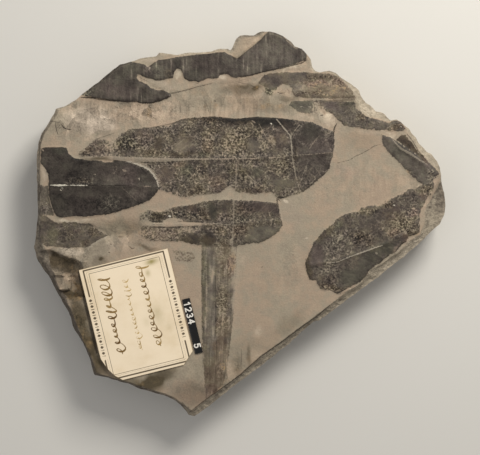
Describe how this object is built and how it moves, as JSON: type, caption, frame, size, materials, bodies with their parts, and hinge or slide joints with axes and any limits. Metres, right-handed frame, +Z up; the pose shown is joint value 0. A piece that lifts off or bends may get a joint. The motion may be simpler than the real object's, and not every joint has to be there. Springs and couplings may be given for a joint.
{
  "type": "fossil leaf plate",
  "caption": "Flat slab of grey-tan mudstone with dark tongue-shaped leaf compressions on its split face, and a glued paper label and number tag.",
  "frame": {"origin": "the middle of the plate's bounding box, on the surface it rests on", "axes": "+Z is up, out of the fossil face; +X runs along the plate's longest side, to the right as the face is looked at; +Y runs up the face"},
  "size_m": [0.2072, 0.1934, 0.025],
  "materials": {
    "mudstone": "matt split mudstone, pale grey-tan, with dark grey-brown carbonised leaf films",
    "label_paper": "aged cream label paper with brown ink, matt",
    "tag_card": "glossy black card with white numerals"
  },
  "bodies": {
    "root": {"slab": "mudstone", "paper_label": "label_paper", "number_tag": "tag_card"}
  },
  "joints": []
}
